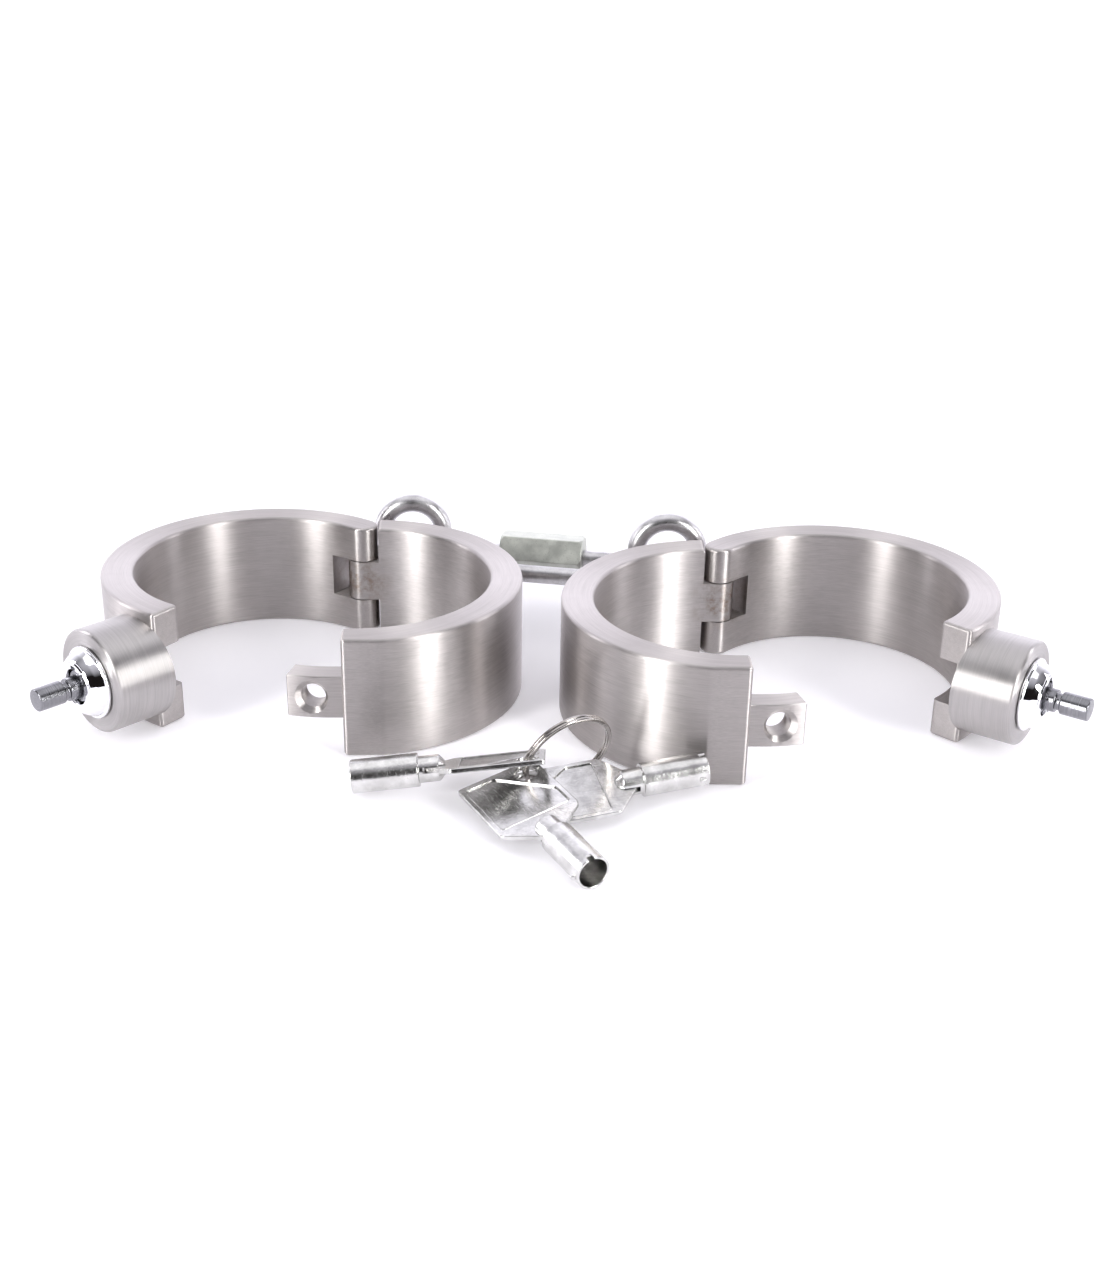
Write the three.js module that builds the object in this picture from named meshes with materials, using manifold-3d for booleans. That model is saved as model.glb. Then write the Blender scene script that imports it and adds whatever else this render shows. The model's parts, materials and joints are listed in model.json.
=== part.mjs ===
// A pair of rigid round handcuffs with push locks, joined by a quick link, and three
// tubular keys on a split ring. Millimetres, +Z up, standing on Z = 0.
import * as THREE from 'three';
import { mergeVertices } from 'three/addons/utils/BufferGeometryUtils.js';
import Module from 'manifold-3d';

const wasm = await Module();
wasm.setup();

// ---------------------------------------------------------------- driving dimensions
const GAP = 0.3;                  // clearance between pieces that meet
const BAND_HEIGHT = 30;
const BAND_OUTER_R = 40;
const BAND_INNER_R = 32;
const BAND_MID_R = (BAND_OUTER_R + BAND_INNER_R) / 2;
const RIM_ROUND = 1.2;            // rounding of the rims
const SPLIT_GAP = 0.15;           // each half stops this far from the split plane
const BAND_STEPS = 26;            // curve steps of one half circle
const OVAL = 2.5;                 // each half is curved about a point this far from the split
const FRONT_FLAT = 39.4;          // the fixed half is ground flat at this distance in front

const HINGE_R = 4;                // knuckle radius
const HINGE_SLOT = 11.3;          // height of the gap between the two outer knuckles
const KNUCKLE_HEIGHT = 10.7;
const HINGE_SLOT_DEPTH = 7.2;
const SHOULDER = 4.4;             // full height of the fixed half starts here
const PIN_R = 2;
const PIN_BORE_R = 2.15;
const PIN_TOP = 28.2;

const { degToRad } = THREE.MathUtils;
const LOCK_ANGLE = degToRad(10);  // lock axis, measured from the split line
const TONGUE_END = degToRad(15.5);
const TONGUE_SLOT_END = degToRad(17.8);
const TONGUE_R = [32.6, 38.6];
const TONGUE_HOLE_R = 3;

const HOUSING_R = 12.8;
const HOUSING_FACE = 53.2;        // distance of the housing's outer face from the cuff centre
const HOUSING_BORE_R = 8;
const HOUSING_FLOOR = 42.5;
const BEZEL_LIP = HOUSING_FACE + 4.4;
const KEYWAY_R = 4.25;
const PLUNGER_R = 2.75;
const PLUNGER_TIP = BEZEL_LIP + 10.2;
const PLUNGER_INNER = 43;
const COLLAR = [54.6, 56.6];
const COLLAR_R = 4;

const ANCHOR = { u: 13, v: 47.5, halfWidth: 8.3, rod: 2.4, top: 23.6, bottom: 16 };
const LINK = { z: 16.6, rod: 2.4, halfWidth: 6.9, length: 66.3, gapStart: 1.5, gap: 7 };
const NUT = { length: 23, acrossFlats: 11.5 };

const KEY = { tubeR: 3.85, boreR: 3.25, tube: 15.2, stubR: 3.05, stub: 6, plate: 1.2 };
const BOW = { start: 22.6, end: 43.7, half: 9.7, hole: [39.6, -5.6], holeR: 2.8, recess: 0.25 };
const SPLIT_RING = { r: 10.6, width: 1.7, thick: 1.1 };

// Where each group stands. Angles in degrees; the swing halves stand open.
const CUFFS = {
  left: { x: -51.1, y: 389.5, turn: 2.3, open: 36, mirror: 1 },
  right: { x: 43.6, y: 378.8, turn: 1.2, open: 44.5, mirror: -1 },
};
const RING_CENTRE = [3.02, 333.83, 10.71];
const RING_NORMAL = [-0.434, 0.7, 0.291];
const KEYS = {
  a: { mouth: [-45.22, 331.6, 4.91], yaw: 2.42, pitch: 6.76, roll: -21.21 },
  b: { mouth: [34.25, 335.58, 6.58], yaw: 195.38, pitch: -4.41, roll: -8.87 },
  c: { mouth: [8.6, 293.79, 4.51], yaw: 119.63, pitch: 1.46, roll: -10.57 },
};

// ---------------------------------------------------------------- materials
const metal = (color, roughness) =>
  new THREE.MeshStandardMaterial({ color, roughness, metalness: 1 });
const MATERIALS = {
  steel: metal(0x9f9794, 0.35),
  housing: metal(0xa8a19e, 0.3),
  chrome: metal(0xdcdce0, 0.08),
  plunger: metal(0x77777c, 0.28),
  inner: metal(0x8c8578, 0.4),
  spring: metal(0x8a8a90, 0.3),
  link: metal(0xa9aaad, 0.35),
  nut: metal(0xc3c6bd, 0.4),
  key: metal(0xc9c9c9, 0.25),
  ring: metal(0x8f8a86, 0.22),
};

// ---------------------------------------------------------------- helpers
function solidOf(geometry) {
  const bare = geometry.clone();
  bare.deleteAttribute('normal');
  bare.deleteAttribute('uv');
  const merged = mergeVertices(bare, 1e-4);
  return new wasm.Manifold(new wasm.Mesh({
    numProp: 3,
    vertProperties: new Float32Array(merged.attributes.position.array),
    triVerts: new Uint32Array(merged.index.array),
  }));
}

function geometryOf(solid) {
  const mesh = solid.getMesh();
  const geometry = new THREE.BufferGeometry();
  geometry.setAttribute('position', new THREE.BufferAttribute(new Float32Array(mesh.vertProperties), 3));
  geometry.setIndex(new THREE.BufferAttribute(new Uint32Array(mesh.triVerts), 1));
  return geometry;
}

// Mirrors a solid in u, for the right-hand cuff.
function mirrored(solid, mirror) {
  return mirror > 0 ? solid : solid.mirror([1, 0, 0]);
}

function box(min, max) {
  const size = max.map((value, i) => value - min[i]);
  const geometry = new THREE.BoxGeometry(...size);
  geometry.translate(...min.map((value, i) => value + size[i] / 2));
  return solidOf(geometry);
}

// Cylinder along +Z between two heights; the two radii allow a cone.
function rod(radius, low, high, steps = 24, topRadius = radius) {
  const geometry = new THREE.CylinderGeometry(topRadius, radius, high - low, steps);
  geometry.rotateX(Math.PI / 2);
  geometry.translate(0, 0, (low + high) / 2);
  return solidOf(geometry);
}

// Solid of revolution about +Z from [radius, z] points going round a closed section.
function turned(section, steps = 24) {
  const points = section.map(([radius, z]) => new THREE.Vector2(radius, z));
  if (section[0][0] > 0) points.push(points[0].clone());
  const geometry = new THREE.LatheGeometry(points, steps);
  geometry.rotateX(Math.PI / 2);
  return solidOf(geometry);
}

// Extrudes a plan-view outline between two heights, with its rims rounded.
function plate(shape, low, high, round = 0, curveSegments = BAND_STEPS) {
  const geometry = new THREE.ExtrudeGeometry(shape, {
    depth: high - low - 2 * round,
    curveSegments,
    bevelEnabled: round > 0,
    bevelThickness: round,
    bevelSize: round,
    bevelOffset: -round,
    bevelSegments: 1,
  });
  geometry.translate(0, 0, low + round);
  return solidOf(geometry);
}

function sweep(curve, radius, sides, steps) {
  const section = new THREE.Shape();
  section.absarc(0, 0, radius, 0, 2 * Math.PI);
  return new THREE.ExtrudeGeometry(section, { curveSegments: sides, steps, extrudePath: curve });
}

// Turns a solid built along +Z so that it points outwards along the lock axis.
function alongLockAxis(solid) {
  const outwards = new THREE.Vector3(-Math.sin(LOCK_ANGLE), -Math.cos(LOCK_ANGLE), 0);
  const up = new THREE.Vector3(0, 0, 1);
  const frame = new THREE.Matrix4().makeBasis(up.clone().cross(outwards), up, outwards);
  frame.setPosition(0, 0, BAND_HEIGHT / 2);
  return solid.transform(frame.toArray());
}

function mesh(name, solidOrGeometry, material) {
  const geometry = solidOrGeometry.isBufferGeometry ? solidOrGeometry : geometryOf(solidOrGeometry);
  const part = new THREE.Mesh(geometry, MATERIALS[material]);
  part.name = name;
  return part;
}

// ---------------------------------------------------------------- cuff halves
// In a cuff's own frame u points to the other cuff, v to the back, and the split is u = 0.
const midLow = (height) => (BAND_HEIGHT - height) / 2;
const midHigh = (height) => (BAND_HEIGHT + height) / 2;
const rightAngle = Math.PI / 2;

function fixedHalf() {
  const shoulder = (radius) => Math.acos((SHOULDER - OVAL) / radius);
  const outline = new THREE.Shape();
  outline.absarc(OVAL, 0, BAND_OUTER_R, -Math.asin(FRONT_FLAT / BAND_OUTER_R), shoulder(BAND_OUTER_R));
  outline.absarc(OVAL, 0, BAND_INNER_R, shoulder(BAND_INNER_R), -rightAngle, true);
  outline.lineTo(SPLIT_GAP, -BAND_INNER_R);
  outline.lineTo(SPLIT_GAP, -FRONT_FLAT);
  const band = plate(outline, 0, BAND_HEIGHT, RIM_ROUND);

  const knuckle = new THREE.Shape();
  knuckle.absarc(OVAL, 0, BAND_OUTER_R, rightAngle - 0.2, rightAngle);
  knuckle.absarc(0, BAND_MID_R, HINGE_R, rightAngle, 3 * rightAngle);
  knuckle.absarc(OVAL, 0, BAND_INNER_R, rightAngle, rightAngle - 0.2, true);
  const knuckleSolid = plate(knuckle, midLow(KNUCKLE_HEIGHT), midHigh(KNUCKLE_HEIGHT), 0, 12);

  const tongue = new THREE.Shape();
  tongue.moveTo(3, -TONGUE_R[1]);
  tongue.lineTo(-OVAL, -TONGUE_R[1]);
  tongue.absarc(-OVAL, 0, TONGUE_R[1], -rightAngle, -rightAngle - TONGUE_END, true);
  tongue.absarc(-OVAL, 0, TONGUE_R[0], -rightAngle - TONGUE_END, -rightAngle);
  tongue.lineTo(3, -TONGUE_R[0]);
  const tongueSolid = plate(tongue, midLow(KNUCKLE_HEIGHT), midHigh(KNUCKLE_HEIGHT), 0.7, 6);

  const hole = alongLockAxis(rod(TONGUE_HOLE_R, 25, 45));
  const countersink = alongLockAxis(rod(TONGUE_HOLE_R - 0.2, TONGUE_R[1] - 1, TONGUE_R[1] + 1, 24, 5));
  return band
    .add(knuckleSolid).add(tongueSolid)
    .subtract(hole).subtract(countersink)
    .subtract(rod(PIN_BORE_R, -1, BAND_HEIGHT + 1).translate([0, BAND_MID_R, 0]));
}

function swingHalf() {
  const outline = new THREE.Shape();
  outline.moveTo(-SPLIT_GAP, -BAND_OUTER_R);
  outline.lineTo(-OVAL, -BAND_OUTER_R);
  outline.absarc(-OVAL, 0, BAND_OUTER_R, -rightAngle, -3 * rightAngle, true);
  outline.absarc(0, BAND_MID_R, HINGE_R, rightAngle, -rightAngle, true);
  outline.absarc(-OVAL, 0, BAND_INNER_R, -3 * rightAngle, -rightAngle);
  outline.lineTo(-SPLIT_GAP, -BAND_INNER_R);
  const band = plate(outline, 0, BAND_HEIGHT, RIM_ROUND);

  const hingeSlot = box(
    [-HINGE_SLOT_DEPTH, BAND_INNER_R - 4, midLow(HINGE_SLOT)],
    [HINGE_R + 1, BAND_OUTER_R + 2, midHigh(HINGE_SLOT)],
  );
  const slotEnd = (radius) => [
    -OVAL - radius * Math.sin(TONGUE_SLOT_END),
    -radius * Math.cos(TONGUE_SLOT_END),
  ];
  const tongueSlot = new THREE.Shape();
  tongueSlot.moveTo(1, -BAND_INNER_R + 3);
  tongueSlot.lineTo(...slotEnd(BAND_INNER_R - 3));
  tongueSlot.lineTo(...slotEnd(BAND_OUTER_R + 5));
  tongueSlot.lineTo(1, -BAND_OUTER_R - 5);
  return band
    .subtract(hingeSlot)
    .subtract(plate(tongueSlot, midLow(HINGE_SLOT), midHigh(HINGE_SLOT)))
    .subtract(rod(PIN_BORE_R, -1, PIN_TOP + GAP).translate([0, BAND_MID_R, 0]));
}

function hingePin() {
  return rod(PIN_R, 0.3, PIN_TOP).translate([0, BAND_MID_R, 0]);
}

// Round bar through points of the plane z = 0, closed into a ring or capped at its ends.
function bar(points, radius, closed) {
  const sides = 10;
  const count = points.length;
  const neighbour = (i) => (closed ? (i + count) % count : THREE.MathUtils.clamp(i, 0, count - 1));
  const positions = [];
  points.forEach(([x, y], i) => {
    const before = points[neighbour(i - 1)];
    const after = points[neighbour(i + 1)];
    const along = new THREE.Vector2(after[0] - before[0], after[1] - before[1]).normalize();
    for (let j = 0; j < sides; j++) {
      const angle = 2 * Math.PI * j / sides;
      const out = radius * Math.cos(angle);
      positions.push(x + along.y * out, y - along.x * out, radius * Math.sin(angle));
    }
  });
  const index = [];
  for (let i = 0; i < (closed ? count : count - 1); i++) {
    for (let j = 0; j < sides; j++) {
      const next = (j + 1) % sides;
      const row = i * sides;
      const nextRow = neighbour(i + 1) * sides;
      index.push(row + j, nextRow + next, row + next, row + j, nextRow + j, nextRow + next);
    }
  }
  const last = (count - 1) * sides;
  for (let j = 1; !closed && j + 1 < sides; j++) {
    index.push(0, j, j + 1, last, last + j + 1, last + j);
  }
  const geometry = new THREE.BufferGeometry();
  geometry.setAttribute('position', new THREE.BufferAttribute(new Float32Array(positions), 3));
  geometry.setIndex(index);
  return solidOf(geometry);
}

// Points of a half circle about (x, y), turning clockwise from the given angle.
function halfCircle(x, y, radius, from) {
  const steps = 10;
  return Array.from({ length: steps + 1 }, (_, i) => {
    const angle = from - Math.PI * i / steps;
    return [x + radius * Math.cos(angle), y + radius * Math.sin(angle)];
  });
}

// Upright oval loop of round bar behind the fixed half, with two short feet to the band.
function anchorLoop() {
  const { u, v, halfWidth, rod: radius, top, bottom } = ANCHOR;
  const path = [
    ...halfCircle(0, top, halfWidth, Math.PI),
    ...halfCircle(0, bottom, halfWidth, 0),
  ];
  const foot = (du, z) => rod(radius - 0.1, 0, 8, 12).rotate([90, 0, 0]).translate([u + du, v, z]);
  return bar(path, radius, true).rotate([90, 0, 0]).translate([u, v, 0])
    .add(foot(-halfWidth + 0.4, 20.5))
    .add(foot(-1, bottom - halfWidth))
    .subtract(rod(BAND_OUTER_R + GAP, -1, BAND_HEIGHT + 1, 72).translate([OVAL, 0, 0]));
}

// ---------------------------------------------------------------- push lock
// Every piece is turned about +Z, with z the distance from the cuff centre.
function lockHousing() {
  const body = turned([
    [PLUNGER_R + 0.2, 36], [HOUSING_R, 36], [HOUSING_R, HOUSING_FACE - 0.6],
    [HOUSING_R - 0.6, HOUSING_FACE], [HOUSING_BORE_R, HOUSING_FACE],
    [HOUSING_BORE_R, HOUSING_FLOOR], [PLUNGER_R + 0.2, HOUSING_FLOOR],
  ], 36);
  const reach = BAND_OUTER_R + GAP;
  return alongLockAxis(body)
    .subtract(rod(reach, -1, BAND_HEIGHT + 1, 90).translate([-OVAL, 0, 0]))
    .subtract(box([-OVAL, -reach, -1], [HOUSING_R, 0, BAND_HEIGHT + 1]));
}

function lockBezel() {
  const sleeve = HOUSING_BORE_R - 0.2;
  const body = turned([
    [sleeve - 0.9, 44.4], [sleeve, 44.4], [sleeve, HOUSING_FACE + 0.2], [8.7, HOUSING_FACE + 0.2],
    [8.7, HOUSING_FACE + 1], [7.1, BEZEL_LIP - 0.3], [6.7, BEZEL_LIP],
    [KEYWAY_R, BEZEL_LIP], [KEYWAY_R, 52.3], [sleeve - 0.9, 52.3],
  ], 32);
  const notch = box([-0.9, KEYWAY_R - 1, BEZEL_LIP - 5], [0.9, KEYWAY_R + 1.1, BEZEL_LIP + 1]);
  return alongLockAxis(body.subtract(notch));
}

function lockRotor() {
  const body = turned([[4.4, 46.4], [6.7, 46.4], [6.7, 50.4], [4.4, 50.4]]);
  let cut = body;
  for (const turn of [90, 210, 330]) {
    const slot = box([3.5, -0.8, 48.4], [5.6, 0.8, 51]).rotate([0, 0, turn]);
    cut = cut.subtract(slot);
  }
  return alongLockAxis(cut);
}

function retainingClip() {
  const ring = turned([[4.9, 50.8], [6.75, 50.8], [6.75, 51.7], [4.9, 51.7]]);
  return alongLockAxis(ring.subtract(box([-1.6, -8, 50], [1.6, 0, 52.5])));
}

function backWasher() {
  return alongLockAxis(turned([[3.1, 42.8], [7.6, 42.8], [7.6, 43.8], [3.1, 43.8]]));
}

function plunger() {
  const groove = PLUNGER_TIP - 7.3;
  return alongLockAxis(turned([
    [0, PLUNGER_INNER], [PLUNGER_R - 0.4, PLUNGER_INNER], [PLUNGER_R, PLUNGER_INNER + 0.4],
    [PLUNGER_R, COLLAR[0]], [COLLAR_R, COLLAR[0]], [COLLAR_R, COLLAR[1]], [PLUNGER_R, COLLAR[1]],
    [PLUNGER_R, groove - 0.6], [PLUNGER_R - 0.7, groove - 0.6],
    [PLUNGER_R - 0.7, groove + 0.6], [PLUNGER_R, groove + 0.6],
    [PLUNGER_R, PLUNGER_TIP - 0.4], [PLUNGER_R - 0.4, PLUNGER_TIP], [0, PLUNGER_TIP],
  ]));
}

class Coil extends THREE.Curve {
  constructor(radius, low, high, turns) {
    super();
    Object.assign(this, { radius, low, high, turns });
  }

  getPoint(t, target = new THREE.Vector3()) {
    const angle = 2 * Math.PI * this.turns * t;
    return target.set(
      this.radius * Math.cos(angle), this.radius * Math.sin(angle), this.low + (this.high - this.low) * t,
    );
  }
}

function plungerSpring() {
  const coil = new Coil(3.55, 44.4, COLLAR[0] - 0.6, 4);
  return alongLockAxis(solidOf(sweep(coil, 0.3, 5, 48)));
}

// ---------------------------------------------------------------- quick link
// Long axis along x, centred on its own origin, threaded sleeve on the far (+y) side.
function quickLink() {
  const bend = LINK.halfWidth;
  const straight = LINK.length / 2 - bend;
  const path = [
    [LINK.gapStart + LINK.gap, bend],
    ...halfCircle(straight, 0, bend, rightAngle),
    ...halfCircle(-straight, 0, bend, -rightAngle),
    [LINK.gapStart, bend],
  ];
  return bar(path, LINK.rod, false);
}

function linkNut() {
  const corner = NUT.acrossFlats / Math.sqrt(3);
  const hexagon = rod(corner, -NUT.length / 2, NUT.length / 2, 6).rotate([0, 0, 24.5]);
  const ends = turned([
    [0, -NUT.length / 2], [corner - 0.6, -NUT.length / 2], [corner, -NUT.length / 2 + 0.8],
    [corner, NUT.length / 2 - 0.8], [corner - 0.6, NUT.length / 2], [0, NUT.length / 2],
  ], 20);
  return hexagon.intersect(ends)
    .subtract(rod(LINK.rod + 0.15, -NUT.length, NUT.length, 24))
    .rotate([0, 90, 0])
    .translate([0, LINK.halfWidth, 0]);
}

// ---------------------------------------------------------------- keys
// A key lies along +x from its mouth; its flat bow lies in the plane z = 0.
function keyTube() {
  const stubEnd = KEY.tube + KEY.stub;
  const body = turned([
    [0, KEY.tube - 2], [KEY.boreR, KEY.tube - 2], [KEY.boreR, 0], [KEY.tubeR - 0.25, 0],
    [KEY.tubeR, 0.3], [KEY.tubeR, KEY.tube - 0.2], [KEY.tubeR - 0.2, KEY.tube],
    [KEY.stubR, KEY.tube], [KEY.stubR, stubEnd - 1.6], [KEY.stubR - 0.5, stubEnd - 0.6],
    [KEY.stubR - 1.4, stubEnd], [0, stubEnd],
  ], 20);
  const notch = box([-KEY.tubeR - 1, -0.7, -1], [1 - KEY.boreR, 0.7, 1.6]);
  const nib = box([-0.6, KEY.boreR + 0.2, 1.2], [0.6, KEY.tubeR + 0.75, 2.4]);
  const slot = box([-KEY.plate / 2 - 0.15, -5, KEY.tube + 1], [KEY.plate / 2 + 0.15, 5, stubEnd + 1]);
  return body.subtract(notch).add(nib).subtract(slot).rotate([0, 90, 0]);
}

function keyBow() {
  const neck = KEY.tube + 1.3;
  const outline = new THREE.Shape([
    [neck, -2.4], [neck + 2.1, -4.6], [BOW.start, -BOW.half], [BOW.end - 0.8, -BOW.half],
    [BOW.end, 0.8 - BOW.half], [BOW.end, BOW.half - 0.8], [BOW.end - 0.8, BOW.half],
    [BOW.start, BOW.half], [neck + 2.1, 4.6], [neck, 2.4],
  ].map((point) => new THREE.Vector2(...point)));
  const panel = new THREE.Shape([
    [BOW.start + 1.7, 1.2 - BOW.half], [BOW.start + 8, 1.2 - BOW.half], [BOW.end - 1.5, 1.2],
    [BOW.end - 1.5, BOW.half - 1.2], [BOW.start + 1.7, BOW.half - 1.2],
  ].map((point) => new THREE.Vector2(...point)));
  const half = KEY.plate / 2;
  return plate(outline, -half, half)
    .subtract(plate(panel, half - BOW.recess, half + 1))
    .subtract(plate(panel, -half - 1, BOW.recess - half))
    .subtract(rod(BOW.holeR, -half - 1, half + 1).translate([...BOW.hole, 0]));
}

function splitRing() {
  const { r, width, thick } = SPLIT_RING;
  const inner = r - thick / 2;
  const outer = r + thick / 2;
  return turned([
    [inner, -width / 2 + 0.3], [inner + 0.3, -width / 2],
    [outer - 0.3, -width / 2], [outer, -width / 2 + 0.3],
    [outer, width / 2 - 0.3], [outer - 0.3, width / 2],
    [inner + 0.3, width / 2], [inner, width / 2 - 0.3],
  ], 32);
}

// ---------------------------------------------------------------- assembly
function buildCuff(side) {
  const { x, y, turn, open, mirror } = CUFFS[side];
  const part = (name, solid, material) => mesh(`${side}_${name}`, mirrored(solid, mirror), material);
  const cuff = new THREE.Group();
  cuff.position.set(x, y, 0);
  cuff.rotation.z = degToRad(turn);
  cuff.add(
    part('fixed_half', fixedHalf(), 'steel'),
    part('hinge_pin', hingePin(), 'inner'),
    part('anchor_loop', anchorLoop(), 'link'),
  );

  const swing = new THREE.Group();
  swing.position.set(0, BAND_MID_R, 0);
  swing.rotation.z = degToRad(-open * mirror);
  const atHinge = new THREE.Group();
  atHinge.position.set(0, -BAND_MID_R, 0);
  atHinge.add(
    part('swing_half', swingHalf(), 'steel'),
    part('lock_housing', lockHousing(), 'housing'),
    part('lock_bezel', lockBezel(), 'chrome'),
    part('lock_rotor', lockRotor(), 'inner'),
    part('retaining_clip', retainingClip(), 'spring'),
    part('back_washer', backWasher(), 'inner'),
    part('plunger', plunger(), 'plunger'),
    part('plunger_spring', plungerSpring(), 'spring'),
  );
  swing.add(atHinge);
  cuff.add(swing);
  return cuff;
}

function anchorCentre(side) {
  const { x, y, turn, mirror } = CUFFS[side];
  return new THREE.Vector3(ANCHOR.u * mirror, ANCHOR.v, LINK.z)
    .applyAxisAngle(new THREE.Vector3(0, 0, 1), degToRad(turn))
    .add(new THREE.Vector3(x, y, 0));
}

function buildLink() {
  const left = anchorCentre('left');
  const right = anchorCentre('right');
  const link = new THREE.Group();
  link.position.copy(left).add(right).multiplyScalar(0.5);
  link.rotation.z = Math.atan2(right.y - left.y, right.x - left.x);
  link.add(mesh('quick_link', quickLink(), 'link'), mesh('quick_link_nut', linkNut(), 'nut'));
  return link;
}

function buildKey(name) {
  const { mouth, yaw, pitch, roll } = KEYS[name];
  const key = new THREE.Group();
  key.position.set(...mouth);
  key.rotation.set(degToRad(roll), degToRad(-pitch), degToRad(yaw), 'ZYX');
  key.add(mesh(`key_${name}_tube`, keyTube(), 'key'), mesh(`key_${name}_bow`, keyBow(), 'key'));
  return key;
}

function buildSplitRing() {
  const ring = mesh('split_ring', splitRing(), 'ring');
  ring.position.set(...RING_CENTRE);
  ring.quaternion.setFromUnitVectors(
    new THREE.Vector3(0, 0, 1), new THREE.Vector3(...RING_NORMAL).normalize(),
  );
  return ring;
}

const handcuffs = new THREE.Group();
handcuffs.add(
  buildCuff('left'), buildCuff('right'), buildLink(),
  buildSplitRing(), ...Object.keys(KEYS).map(buildKey),
);

// The part's origin is the middle of its box, on the surface that it stands on.
handcuffs.updateMatrixWorld(true);
const extent = new THREE.Box3().setFromObject(handcuffs, true);
const middle = extent.getCenter(new THREE.Vector3());
handcuffs.position.set(-middle.x, -middle.y, -extent.min.z);

export default handcuffs;
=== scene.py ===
"""Looks of a pair of rigid handcuffs with push locks, a quick link and three tubular keys.

Shapes are worked out in millimetres in each piece's own frame and made in metres in the shared frame.
"""
import json
import math

import bmesh
import bpy
from mathutils import Matrix, Vector


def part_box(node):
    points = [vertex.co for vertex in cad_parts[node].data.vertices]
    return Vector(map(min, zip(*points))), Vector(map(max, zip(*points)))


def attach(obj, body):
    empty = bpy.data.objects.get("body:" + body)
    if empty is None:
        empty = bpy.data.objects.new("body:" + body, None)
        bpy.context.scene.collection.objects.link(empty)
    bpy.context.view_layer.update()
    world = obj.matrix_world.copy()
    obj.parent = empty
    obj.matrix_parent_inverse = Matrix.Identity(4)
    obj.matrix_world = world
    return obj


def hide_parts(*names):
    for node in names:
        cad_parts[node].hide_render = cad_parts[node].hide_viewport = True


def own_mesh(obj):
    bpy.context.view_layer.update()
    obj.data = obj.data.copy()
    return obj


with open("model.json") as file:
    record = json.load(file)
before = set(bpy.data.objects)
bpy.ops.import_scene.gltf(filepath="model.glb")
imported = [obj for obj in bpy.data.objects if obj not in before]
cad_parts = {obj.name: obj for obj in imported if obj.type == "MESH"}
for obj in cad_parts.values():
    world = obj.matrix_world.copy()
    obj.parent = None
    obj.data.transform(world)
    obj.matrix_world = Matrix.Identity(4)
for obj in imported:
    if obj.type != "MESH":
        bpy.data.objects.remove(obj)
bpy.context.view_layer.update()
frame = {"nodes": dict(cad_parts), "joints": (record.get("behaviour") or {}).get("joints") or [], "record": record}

# ---------------------------------------------------------------- driving dimensions, millimetres
MM = 0.001
CLEAR = 1.0  # how far a cutter reaches past what it cuts
OVERLAP = 0.1  # how far a part reaches into the one it is fixed to
NEARLY = 1e-4  # lengths below this count as none
NEARLY_STRAIGHT = math.radians(172)  # corners flatter than this are left alone
CORNER_SHARE = 0.45  # the most of a side that rounding one corner may use
SHARP = math.radians(42)  # edges that turn more than this are rounded

BAND_HEIGHT = 30.0
BAND_OUTER_R = 40.0
BAND_INNER_R = 32.0
BAND_MID_R = 36.0
RIM_ROUND = 1.6
END_ROUND = 1.2
EDGE_ROUND = 0.35
SPLIT_GAP = 0.15
OVAL = 2.5  # each half is curved about a point this far to its own side of the split
FRONT_FLAT = 39.4
FIXED_STEPS, SWING_STEPS = 120, 130

HINGE_R = 4.0
HINGE_SLOT = 11.3
KNUCKLE_HEIGHT = 10.7
HINGE_SLOT_DEPTH = 7.2
SHOULDER = 4.4
KNUCKLE_ROOT = 0.2  # radians of band that the knuckle runs into
PIN_BORE_R = 2.15
PIN_BORE_TOP = 28.5

LOCK_ANGLE = math.radians(10)
TONGUE_END = math.radians(15.5)
TONGUE_SLOT_END = math.radians(17.8)
TONGUE_INNER_R, TONGUE_OUTER_R = 32.6, 38.6
TONGUE_ROOT = 3.0
TONGUE_ROUND = 0.8
TONGUE_HOLE_R = 3.0
TONGUE_HOLE_CUT = (25.0, 45.0)
TONGUE_SINK_R = (TONGUE_HOLE_R - 0.3, 4.9)
TONGUE_SINK_DEPTH = 1.0

HOUSING_R = 12.8
HOUSING_BACK = 36.0
HOUSING_FACE = 53.2
HOUSING_BORE_R = 8.0
HOUSING_FLOOR = 42.5
HOUSING_ROUND = 0.9
BEZEL_LIP = 57.6
BEZEL = dict(low=44.4, wall=0.9, throat=52.3, flange_r=8.9, flange=0.75, round=0.28)
KEYWAY_R = 4.25
KEYWAY_NOTCH = dict(half=0.9, out=1.1, depth=5.0)

PLUNGER_R = 2.75
PLUNGER_ROUND = 0.4
PLAY = 0.2  # clearance between nested parts of the lock
PLUNGER_INNER = 43.0
PLUNGER_TIP = 67.8
COLLAR = (54.6, 56.6)
COLLAR_R = 4.0
GROOVE = dict(from_tip=7.3, half=0.6, depth=0.7)
SPRING = dict(r=3.55, wire=0.28, low=44.4, high=54.0, turns=5, steps=24, pressed=0.07)

ANCHOR = dict(u=13.0, v=47.5, half_width=8.3, rod=2.4, top=23.6, bottom=16.0)
ANCHOR_FOOT = dict(inset=0.4, side_z=20.5, low_shift=-1.0, thinner=0.1, length=8.0)
ANCHOR_HINGE_SIDE = 3.3  # the loop's feet stop here, clear of the opening half
WELD = dict(gap=0.1, ripple=0.1, ripples=9, rod=0.6, steps=40, side_sweep=118, low_sweep=172)

LINK = dict(z=16.6, rod=2.4, half_width=6.9, length=66.3, gap_start=1.5, gap=7.0)
NUT = dict(length=23.0, across_flats=11.5, turn=math.radians(24.5), play=0.15, round=0.3)
NUT_END = dict(inward=0.75, back=1.0)

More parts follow.
